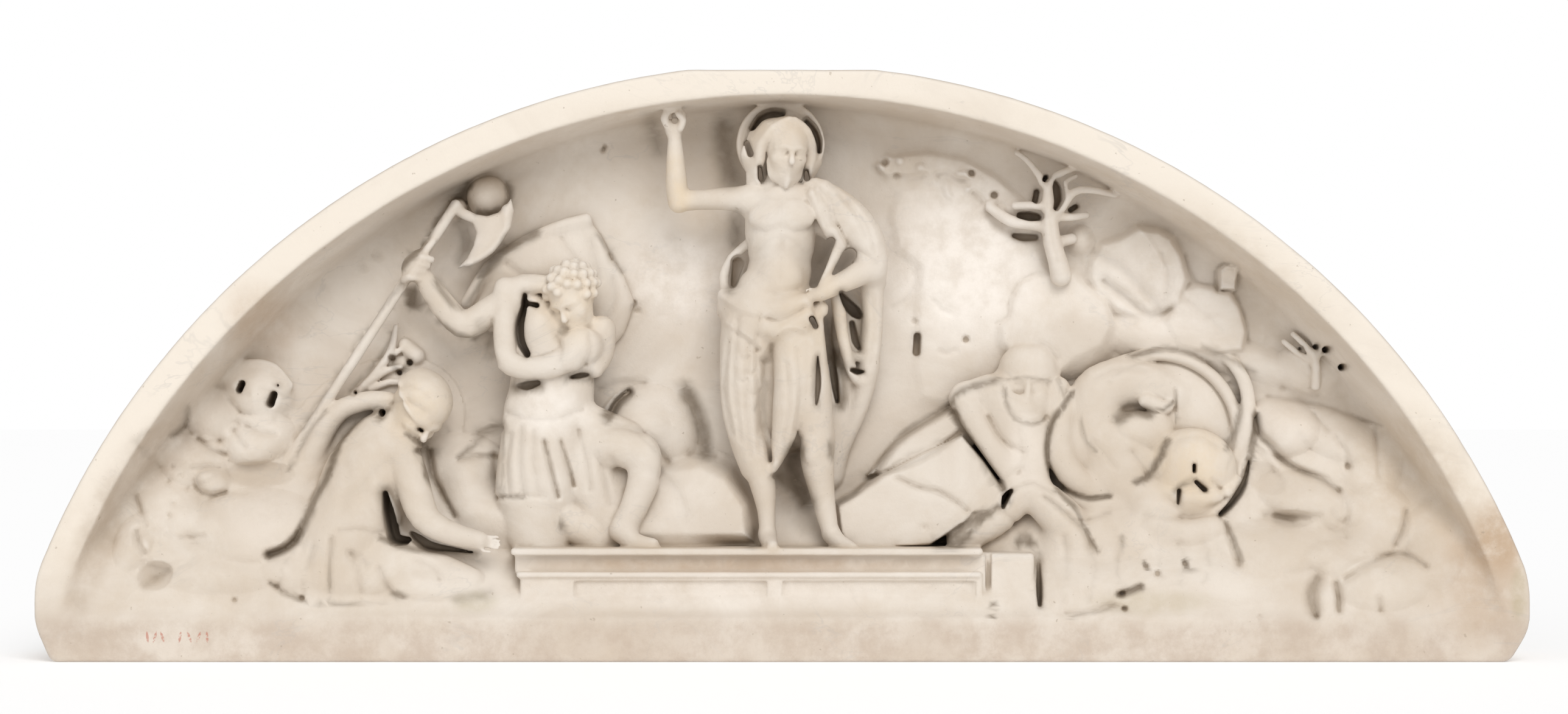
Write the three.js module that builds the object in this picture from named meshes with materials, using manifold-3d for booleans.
/**
 * Marble relief lunette: one carved block with a rounded top, a raised rim and a splayed inner wall
 * around a sunken field. On the field a robed figure stands on the ledge of a panelled tomb with one
 * arm raised, between soldiers who start up, crouch or sleep among rocks, shields and small trees.
 *
 * Everything is carved in panel coordinates: x to the right, y up, z out of the field towards the
 * viewer, in millimetres. The finished block is then stood up, so that it faces -Y with +Z up, its
 * underside on z = 0 and the origin in the middle of that underside.
 */
import * as THREE from "three";
import { mergeVertices } from "three/addons/utils/BufferGeometryUtils.js";
import Module from "manifold-3d";

const HALF_WIDTH = 401;
const HEIGHT = 317.6;
const DEPTH = 90;
const OUTER_ARC = { radius: 428.8, centreUp: -108.3 };
const INNER_ARC = { radius: 410.6, centreUp: -106.6 };
const ARC_STEPS = 38;

const FIELD_DEPTH = 50;             // from the rim's face back to the field
const BACK = FIELD_DEPTH - DEPTH;   // the flat back, in panel z
const FACE = FIELD_DEPTH;           // the rim's face, in panel z
const RECESS_FOOT = 22;             // top of the plain strip along the base
const SPLAY = { across: 0.045, up: 0.02 };  // how much the recess narrows from its face to the field
const OVERCUT = 5;                  // how far cutters pass the face they open

const TOMB = { left: -148, right: 108, top: 61, face: 42, foot: 16 };
const CORNICE = { foot: 57.5, face: 46 };
const COVE = { foot: 47.5, face: 40.5 };
const FILLET = { foot: 45, face: 43.5 };
const PANEL = { foot: 22.5, top: 43, sunk: 2.2, spans: [[-112, -8], [0, 104]] };
const PIER = { left: 113, right: 136, foot: 25, top: 58, face: 40 };

const HALO = { x: -1, up: 279, radius: 24, bandWidth: 5.5, back: 16, face: 23, sides: 20 };
const SHIELD = { x: 205, up: 123, radius: 44, rise: 15, bossRise: 19, rimWidth: 7, sides: 20 };

const LIMB_SIDES = 6;
const LUMP_SIDES = 8;
const LUMP_RINGS = 5;
const MARBLE = { color: 0xe6dccd, roughness: 0.55, metalness: 0 };

const wasm = await Module();
wasm.setup();

/** Turns a closed three.js geometry into a solid, dropping the triangles that a pole pinches shut. */
function toSolid(geometry) {
  geometry.deleteAttribute("normal");
  geometry.deleteAttribute("uv");
  const merged = mergeVertices(geometry, 1e-4);
  const corners = Array.from(merged.index.array);
  const kept = [];
  for (let i = 0; i < corners.length; i += 3) {
    const [a, b, c] = corners.slice(i, i + 3);
    if (a !== b && b !== c && c !== a) kept.push(a, b, c);
  }
  return new wasm.Manifold(new wasm.Mesh({
    numProp: 3,
    vertProperties: Float32Array.from(merged.attributes.position.array),
    triVerts: Uint32Array.from(kept),
  }));
}

/** Joins a list of solids, and lists of solids, into one. */
function join(parts) {
  const flat = parts.flat(Infinity);
  return flat.slice(1).reduce((whole, part) => whole.add(part), flat[0]);
}

/**
 * A limb through stations [x, up, out, radius], with blunt round ends. It is a lathed column whose
 * rings are carried along the stations and mitred at each bend. Fullness is its depth towards the
 * viewer as a share of its width.
 */
function chain(stations, sides = LIMB_SIDES, fullness = 1) {
  const places = stations.map(([x, up, out]) => new THREE.Vector3(x, up, out));
  const steps = places.slice(1).map((place, i) => place.clone().sub(places[i]).normalize());
  const rings = places.map((centre, i) => {
    const before = steps[Math.max(i - 1, 0)];
    const after = steps[Math.min(i, steps.length - 1)];
    const axis = before.clone().add(after).normalize();
    const bend = before.clone().sub(after);
    const spread = bend.length() > 1e-6 ? 1 / axis.dot(before) - 1 : 0;
    return { centre, axis, bend: bend.normalize(), spread, radius: stations[i][3] };
  });
  const capRing = (ring, side, reach, width) => ({
    ...ring,
    centre: ring.centre.clone().addScaledVector(ring.axis, side * reach * ring.radius),
    radius: width * ring.radius,
  });
  const [first, last] = [rings[0], rings.at(-1)];
  const column = [
    capRing(first, -1, 1, 0), capRing(first, -1, 0.7, 0.7), ...rings,
    capRing(last, 1, 0.7, 0.7), capRing(last, 1, 1, 0),
  ];
  let turn = new THREE.Quaternion().setFromUnitVectors(new THREE.Vector3(0, 1, 0), first.axis);
  column.forEach((ring, i) => {
    const step = new THREE.Quaternion().setFromUnitVectors(column[Math.max(i - 1, 0)].axis, ring.axis);
    turn = step.multiply(turn);
    ring.turn = turn.clone();
  });
  const profile = column.map((ring, i) => new THREE.Vector2(ring.radius, i));
  const geometry = new THREE.LatheGeometry(profile, sides);
  const place = geometry.attributes.position;
  for (let i = 0; i < place.count; i += 1) {
    const ring = column[Math.round(place.getY(i))];
    const offset = new THREE.Vector3(place.getX(i), 0, place.getZ(i)).applyQuaternion(ring.turn);
    offset.addScaledVector(ring.bend, offset.dot(ring.bend) * ring.spread);
    offset.z *= fullness;
    place.setXYZ(i, ...offset.add(ring.centre));
  }
  return toSolid(geometry);
}

/** A straight limb between two stations. */
function limb(from, to, sides = LIMB_SIDES) {
  return chain([from, to], sides);
}

/** An ellipsoid at [x, up, out] with half-axes [across, up, out], turned in the panel's plane. */
function lump(centre, radii, degrees = 0, sides = LUMP_SIDES, rings = LUMP_RINGS) {
  const geometry = new THREE.SphereGeometry(1, sides, rings);
  geometry.rotateX(Math.PI / 2);
  geometry.scale(...radii);
  geometry.rotateZ(THREE.MathUtils.degToRad(degrees));
  geometry.translate(...centre);
  return toSolid(geometry);
}

/** A straight-sided solid of an outline [[x, up], ...], from one panel z to another. */
function plate(outline, back, front) {
  const shape = new THREE.Shape(outline.map(([x, up]) => new THREE.Vector2(x, up)));
  const geometry = new THREE.ExtrudeGeometry(shape, { depth: front - back, bevelEnabled: false });
  geometry.translate(0, 0, back);
  return toSolid(geometry);
}

/** A rectangular block between two corners of the panel. */
function block(left, right, foot, top, back, front) {
  const geometry = new THREE.BoxGeometry(right - left, top - foot, front - back);
  geometry.translate((left + right) / 2, (foot + top) / 2, (back + front) / 2);
  return toSolid(geometry);
}

/** A round disc or drum that faces the viewer. */
function disc(x, up, radius, back, front, sides = 24) {
  const geometry = new THREE.CylinderGeometry(radius, radius, front - back, sides);
  geometry.rotateX(Math.PI / 2);
  geometry.translate(x, up, (back + front) / 2);
  return toSolid(geometry);
}

/** Points of an arc about a centre on the panel's middle line, from one x to another. */
function arcPoints({ radius, centreUp }, fromX, toX, steps) {
  const first = Math.asin(fromX / radius);
  const last = Math.asin(toX / radius);
  return Array.from({ length: steps + 1 }, (_, i) => {
    const angle = THREE.MathUtils.lerp(first, last, i / steps);
    return [radius * Math.sin(angle), centreUp + radius * Math.cos(angle)];
  });
}

/** The block's outline: flat underside, chipped lower corners, and an arc with a flat crown. */
function outerOutline() {
  const arc = arcPoints(OUTER_ARC, HALF_WIDTH, -HALF_WIDTH, ARC_STEPS);
  const crowned = arc.map(([x, up]) => [x, Math.min(up, HEIGHT)]);
  return [[-394, 0], [390, 0], [396.5, 6], [HALF_WIDTH, 18], ...crowned, [-HALF_WIDTH, 22], [-399, 9]];
}

/** The hollow inside the rim, wider at the face than at the field. */
function recess() {
  const reach = 389;
  const arc = arcPoints(INNER_ARC, reach, -reach, ARC_STEPS);
  const shape = new THREE.Shape([...arc, [-reach, RECESS_FOOT], [reach - 5, RECESS_FOOT]]
    .map(([x, up]) => new THREE.Vector2(x, up)));
  const geometry = new THREE.ExtrudeGeometry(shape, { depth: FACE + OVERCUT, bevelEnabled: false });
  const place = geometry.attributes.position;
  for (let i = 0; i < place.count; i += 1) {
    const inward = (FACE - place.getZ(i)) / FACE;
    const up = place.getY(i) - RECESS_FOOT;
    place.setX(i, place.getX(i) * (1 - SPLAY.across * inward));
    place.setY(i, RECESS_FOOT + up * (1 - SPLAY.up * inward));
  }
  return toSolid(geometry);
}

/** The bank of ground that climbs from the base strip to the foot of the field. */
function groundBank() {
  const run = 384;
  const profile = [[-2, 10], [-2, 76], [8, 64], [26, 46], [42, 31], [FACE - 1, 20], [FACE - 1, 10]];
  const shape = new THREE.Shape(profile.map(([out, up]) => new THREE.Vector2(-out, up)));
  const geometry = new THREE.ExtrudeGeometry(shape, { depth: 2 * run, bevelEnabled: false });
  geometry.rotateY(Math.PI / 2);
  geometry.translate(-run, 0, 0);
  return toSolid(geometry);
}

/** The tomb's front: ledge, hollow moulding, two sunken panels, and the pier at its right end. */
function tomb() {
  const { left, right, top, face, foot } = TOMB;
  const body = join([
    block(left + 6, right, foot, COVE.foot, -1, face),
    block(left + 3, right, COVE.foot, CORNICE.foot, -1, COVE.face),
    block(left, right, CORNICE.foot, top, -1, CORNICE.face),
    block(left + 4, right - 1, FILLET.foot, COVE.foot, -1, FILLET.face),
    block(PIER.left - 6, PIER.right, PIER.foot, PIER.top, -1, PIER.face),
  ]);
  const panels = PANEL.spans.map(([from, to]) => (
    block(from, to, PANEL.foot, PANEL.top, face - PANEL.sunk, FACE + OVERCUT)));
  return body.subtract(join(panels));
}

/** The halo: a pierced ring behind the head, joined to it by a web of stone. */
function halo() {
  const { x, up, radius, bandWidth, back, face, sides } = HALO;
  const ring = disc(x, up, radius, back, face, sides)
    .subtract(disc(x, up, radius - bandWidth, back - 1, face + 1, sides));
  const web = lump([x + 1, up - 3, 13], [14, 17, 14]);
  const bridges = [
    plate([[-3, 286], [4, 287], [5, 300], [-1, 300]], back, face - 1),
    plate([[9, 262], [20, 268], [20, 275], [9, 273]], back, face - 1),
    plate([[-20, 262], [-6, 262], [-6, 274], [-22, 270]], back, face - 1),
  ];
  return [ring, web, bridges];
}

/** The standing figure: body, raised arm, cloaked arm on the hip, loincloth, legs and feet. */
function risenFigure() {
  const head = [
    lump([2, 275, 32], [12.5, 17, 13], -8, 10, 6),
    chain([[-7, 285, 29, 7], [-12, 272, 29, 5.5], [-12, 257, 28, 3.2]]),
    chain([[7, 288, 29, 6.5], [13.5, 277, 29, 5], [14, 264, 28, 3]]),
    lump([6, 262, 39], [6, 7, 5]),
    limb([0, 263, 27, 7.5], [-1, 250, 26, 8.5]),
  ];
  const torso = [
    limb([-15, 248, 26, 8.5], [14, 249, 26, 8.5], 8),
    chain([[-1, 240, 22, 19.5], [-1, 217, 21, 17], [-3, 200, 21, 20.5], [-4, 188, 21, 21]], 10, 1.05),
  ];
  const raisedArm = [
    chain([[-19, 249, 28, 7.2], [-56, 247, 30, 6], [-58, 282, 32, 4.4]]),
    lump([-58, 291, 32], [6.5, 7.5, 5]),
  ];
  const cloakedArm = [
    chain([[12, 252, 28, 9], [32, 243, 28, 9.5], [46, 222, 27, 9.5], [50, 210, 29, 8], [30, 201, 36, 6], [15, 197, 38, 4]], 8),
    chain([[53, 206, 21, 7], [57, 180, 15, 7], [56, 150, 9, 7], [51, 130, 4, 6]]),
    chain([[30, 195, 26, 4], [33, 175, 22, 3.5], [39, 157, 19, 3.5], [46, 151, 15, 3.5], [54, 163, 12, 3.5]]),
  ];
  const drapery = [
    chain([[-19, 224, 19, 3], [-31, 209, 18, 3.2], [-29, 196, 20, 4], [-30, 182, 20, 5]]),
    chain([[-12, 192, 24, 15], [-20, 165, 24, 14.5], [-20, 132, 24, 12.5], [-16, 107, 24, 9.5]], 8, 1.15),
    chain([[5, 190, 31, 12], [6, 165, 32, 11.5], [0, 130, 32, 8], [-5, 106, 29, 4]], 8),
    chain([[23, 172, 25, 3.5], [24, 132, 23, 3], [26, 110, 20, 2.2]]),
    chain([[-2, 190, 6, 18], [0, 120, 2, 16]]),
  ];
  const legs = [
    chain([
      [11, 186, 27, 12.5], [15, 158, 28, 12], [18, 124, 27, 9.6], [19, 106, 27, 8.8],
      [23, 84, 25, 6.2], [27, 67, 28, 5], [38, 60.5, 38, 3.6],
    ], 8),
    chain([[-14, 108, 24, 8], [-11, 92, 26, 7], [-8, 68, 28, 5], [-5, 61.5, 38, 4.2]]),
  ];
  return [head, torso, raisedArm, cloakedArm, drapery, legs];
}

/** Hollows that part the standing figure's limbs and folds. */
function risenFigureHollows() {
  return [
    limb([26, 226, 45, 2.6], [18, 205, 45, 2]),
    limb([25, 182, 45, 1.8], [28, 152, 40, 1.8]),
    limb([35, 196, 40, 5], [41, 172, 40, 4.5]),
    limb([-24, 214, 40, 2.5], [-24, 203, 40, 2.5]),
    limb([-9, 188, 44, 1.6], [-4, 130, 44, 1.6]),
    limb([-24, 165, 42, 1.6], [-20, 112, 38, 1.6]),
    limb([-15, 180, 42, 1.2], [-13, 120, 40, 1.4]),
    limb([10, 168, 46, 1.4], [8, 124, 43, 1.4]),
  ];
}

/** The boulders and the hunched form between the standing figure and the halberdier. */
function boulders() {
  const stones = [
    lump([-46, 82, 8], [30, 25, 22], 12, 8, 5),
    lump([-72, 124, 6], [28, 28, 22], -10, 12, 6),
    lump([-88, 84, 2], [34, 34, 16], 0, 8, 5),
  ];
  const seatedLeg = chain([[-100, 112, 20, 13], [-72, 113, 27, 10.5], [-76, 92, 28, 8.5], [-87, 70, 30, 7]]);
  return [stones, seatedLeg];
}

/** The soldier who starts up with a halberd, his cloak blown out behind him. */
function halberdier() {
  const blade = [
    [-180, 239], [-166, 241], [-158, 241], [-148, 250], [-145, 243], [-147, 233],
    [-155, 221], [-174, 211], [-168, 221], [-165, 230], [-172, 233],
  ];
  const cloak = [
    [-176, 182], [-168, 205], [-150, 222], [-130, 233], [-109, 240], [-99, 231],
    [-92, 218], [-85, 198], [-92, 165], [-120, 145], [-160, 165],
  ];
  const weapon = [
    chain([[-176, 245, 26, 3], [-199, 212, 26, 3], [-240, 150, 18, 3], [-284, 88, 8, 3]]),
    plate(blade, 21, 27),
    lump([-160, 253, 2], [12, 12, 12]),
    chain([[-170, 240, 2, 6], [-172, 238, 25, 3.5]]),
  ];
  const figure = [
    plate(cloak, -1, 13),
    lump([-113, 197, 24], [18, 18, 19], 10, 10, 6),
    chain([[-134, 190, 22, 12], [-126, 172, 20, 19], [-128, 142, 18, 16], [-132, 122, 18, 18],
      [-135, 102, 20, 20], [-136, 92, 20, 19]], 8),
    chain([[-146, 193, 24, 8.5], [-172, 180, 27, 7.5], [-187, 198, 28, 6.5], [-201, 218, 28, 6.5]]),
    chain([[-150, 199, 28, 6], [-149, 163, 33, 6.5], [-118, 164, 38, 6.5], [-98, 175, 34, 5]]),
    chain([[-138, 92, 18, 10], [-138, 64, 18, 9]]),
    chain([[-118, 122, 18, 14], [-106, 92, 18, 13], [-98, 70, 18, 10]]),
    lump([-128, 74, 4], [50, 26, 20]),
    lump([-158, 96, 0], [36, 22, 12]),
  ];
  return [weapon, figure];
}

/** Grooves of the halberdier's skirt and the undercut beside his arm. */
function halberdierHollows() {
  return [
    limb([-140, 196, 38, 2.6], [-140, 168, 42, 2.6]),
    limb([-128, 116, 42, 1.6], [-121, 88, 38, 1.6]),
    limb([-119, 116, 40, 1.6], [-113, 95, 36, 1.6]),
    limb([-140, 118, 42, 1.4], [-138, 90, 38, 1.6]),
    limb([-84, 144, 28, 2], [-94, 131, 30, 2]),
    limb([-51, 142, 22, 2], [-42, 113, 24, 2]),
  ];
}

/** The soldier kneeling with his back to the viewer, one hand on the tomb's ledge. */
function kneelingSoldier() {
  return [
    lump([-197, 135, 24], [17.5, 17, 17], 20, 10, 6),
    chain([[-207, 128, 14, 13], [-222, 112, 16, 22], [-230, 84, 18, 25], [-240, 56, 22, 29]], 10, 0.9),
    chain([[-264, 46, 20, 14], [-238, 44, 30, 17], [-206, 48, 32, 15], [-172, 42, 34, 10]], 8),
    chain([[-208, 112, 32, 10], [-200, 76, 40, 8], [-178, 67, 42, 6.5], [-152, 63, 42, 5]]),
    chain([[-262, 92, 8, 6], [-256, 116, 9, 6], [-246, 131, 9, 6], [-228, 140, 10, 6]]),
    chain([[-222, 142, 3, 3.5], [-212, 165, 3, 3.5], [-205, 178, 2, 3]]),
    chain([[-212, 165, 2, 3.5], [-226, 172, 2, 3]]),
  ];
}

/** Grooves of the kneeling soldier's back and skirt. */
function kneelingHollows() {
  return [
    limb([-243, 66, 48, 1.8], [-244, 36, 48, 1.8]),
    limb([-228, 62, 49, 1.5], [-226, 38, 49, 1.8]),
    limb([-211, 88, 44, 4], [-210, 66, 44, 4]),
    limb([-258, 62, 44, 1.6], [-262, 40, 42, 1.6]),
  ];
}

/** The two low figures and the smooth mound in the left corner. */
function cornerFigures() {
  return [
    lump([-287, 146, 6], [18, 15, 17], -20, 10, 6),
    chain([[-318, 132, 2, 13], [-296, 124, 4, 14], [-276, 116, 4, 10]]),
    chain([[-334, 106, 2, 13], [-320, 84, 2, 19], [-342, 62, 2, 20]]),
    lump([-307, 96, 14], [8, 8, 8]),
    chain([[-330, 66, 4, 20], [-292, 72, 8, 23], [-262, 58, 8, 16]], 8),
  ];
}

/** The tomb's lid, thrown aside: two tilted slabs to the right of the standing figure. */
function lidSlabs() {
  const upper = [[46, 96], [60, 116], [94, 137], [112, 132], [104, 112], [70, 90]];
  const lower = [[28, 82], [52, 98], [97, 122], [122, 92], [112, 78], [82, 61], [38, 58]];
  const wedge = [[82, 61], [112, 80], [101, 60]];
  return [
    plate(upper, -1, 10),
    join([plate(lower, -1, 20)]).subtract(plate(wedge, 8, 30)),
  ];
}

/** The soldier bowed over beside the slabs, and the crescent shield at his back. */
function bowedSoldier() {
  return [
    lump([134, 158, 20], [17, 14, 20], 0, 10, 6),
    lump([134, 150, 24], [18.5, 4.5, 17]),
    lump([134, 139, 28], [12, 12, 12]),
    chain([[99, 140, 14, 9], [110, 120, 22, 9.5], [122, 102, 28, 8]]),
    chain([[128, 140, 10, 17], [127, 124, 14, 19], [134, 100, 20, 15]], 8),
    chain([[128, 94, 20, 12], [101, 66, 18, 10]]),
    chain([[136, 94, 24, 12], [160, 70, 26, 14], [176, 46, 20, 20]], 8),
    chain([[150, 50, 16, 17], [168, 66, 14, 20], [190, 52, 12, 22]], 8),
    chain([
      [158, 144, 16, 6], [147, 127, 20, 7], [146, 107, 22, 7],
      [153, 94, 22, 7], [166, 88, 20, 6.5], [180, 92, 16, 5],
    ]),
  ];
}

/** The sleepers at the right: the great round shield, the helmeted head and the reclining form. */
function sleepers() {
  const { x, up, radius, rise, bossRise, rimWidth, sides } = SHIELD;
  const shield = disc(x, up, radius, -1, rise, sides)
    .subtract(disc(x, up, radius - rimWidth, rise - 3, bossRise, sides));
  return [
    shield,
    chain([[174, 142, 6, 18], [192, 142, 8, 19], [208, 118, 8, 22]], 8),
    lump([222, 103, 22], [24.5, 22, 20], 0, 10, 6),
    chain([[206, 74, 14, 24], [230, 66, 14, 26], [216, 48, 18, 24]], 8),
    chain([[232, 165, 6, 7], [250, 150, 7, 8], [259, 128, 7, 8]]),
    chain([[272, 128, 2, 15], [300, 124, 2, 15], [322, 104, 2, 15]], 8),
    chain([[272, 104, 6, 16], [300, 92, 6, 18], [328, 74, 4, 18], [344, 50, 2, 14]], 8),
    chain([[262, 72, 6, 18], [290, 66, 6, 20], [312, 48, 12, 16], [336, 42, 10, 14]], 8),
    chain([[270, 106, 20, 4], [292, 97, 22, 4], [306, 86, 20, 4]]),
  ];
}

/** Hollows and grooves of the figures at the right. */
function rightHollows() {
  return [
    lump([191, 134, 26], [9, 5, 8]),
    chain([[253, 106, 16, 3], [250, 92, 20, 3.5], [240, 79, 26, 3]]),
    limb([139, 58, 40, 2.2], [139, 32, 42, 2.2]),
    limb([196, 82, 40, 1.6], [190, 50, 42, 1.6]),
    limb([214, 62, 42, 1.6], [216, 42, 42, 1.6]),
    limb([338, 80, 20, 1.6], [332, 62, 24, 1.6]),
    plate([[125, 61], [131, 72], [138, 61]], 20, 44),
  ];
}

/** The landscape behind: boulders, a turret and a tower in low relief, and the leafy limb. */
function landscape() {
  const boulderSides = 7;
  return [
    lump([144, 180, 0], [25, 28, 12], 10, boulderSides, 4),
    lump([196, 206, 0], [33, 30, 15], -15, boulderSides, 4),
    lump([234, 184, 0], [22, 21, 13], 5, boulderSides, 4),
    lump([163, 226, 0], [7, 7, 6], 0, 6, 4),
    block(238, 250, 198, 211, -1, 6),
    block(58, 75, 158, 208, -1, 5),
    plate([[58, 208], [75, 208], [66, 216]], -1, 4),
    lump([108, 250, 0], [40, 14, 7], -25, 9, 4),
    lump([80, 262, 0], [24, 8, 7], -10, 9, 4),
  ];
}

/** The bare tree at the right with its forked branches, and the small shrub in the corner. */
function trees() {
  const tree = [
    [[154, 208, 8, 5.5], [146, 236, 12, 4.5]],
    [[146, 236, 12, 4], [145, 254, 16, 3], [132, 271, 16, 2]],
    [[145, 254, 16, 2.8], [153, 264, 16, 2.4], [166, 267, 16, 1.8]],
    [[146, 246, 14, 2.8], [128, 246, 14, 2]],
    [[149, 240, 14, 3], [157, 250, 16, 2.6], [166, 255, 16, 2.4], [180, 253, 14, 1.8]],
    [[147, 232, 10, 3.4], [122, 238, 10, 3], [100, 261, 8, 3]],
    [[145, 252, 16, 2.6], [160, 272, 14, 1.8]],
  ];
  const shrub = [
    [[290, 148, 4, 3], [290, 166, 7, 2.2], [286, 178, 6, 1.6]],
    [[290, 160, 6, 2], [278, 172, 5, 1.6]],
    [[290, 158, 6, 2], [303, 170, 5, 1.6]],
  ];
  return [tree, shrub].map((plant) => plant.map((branch) => chain(branch, 5)));
}

const carved = join([
  tomb(), halo(), risenFigure(), boulders(), halberdier(), kneelingSoldier(), cornerFigures(),
  lidSlabs(), bowedSoldier(), sleepers(), landscape(), trees(), groundBank(),
]);
const hollows = join([risenFigureHollows(), halberdierHollows(), kneelingHollows(), rightHollows()]);
const stone = plate(outerOutline(), BACK, FACE).subtract(recess()).add(carved.subtract(hollows));

const { vertProperties, triVerts } = stone.getMesh();
const geometry = new THREE.BufferGeometry();
geometry.setAttribute("position", new THREE.BufferAttribute(Float32Array.from(vertProperties), 3));
geometry.setIndex(new THREE.BufferAttribute(Uint32Array.from(triVerts), 1));
geometry.computeVertexNormals();

const relief = new THREE.Mesh(geometry, new THREE.MeshStandardMaterial(MARBLE));
relief.name = "marble_relief";
relief.rotation.x = Math.PI / 2;
relief.position.y = FACE - DEPTH / 2;

const lunette = new THREE.Group();
lunette.add(relief);

export default lunette;
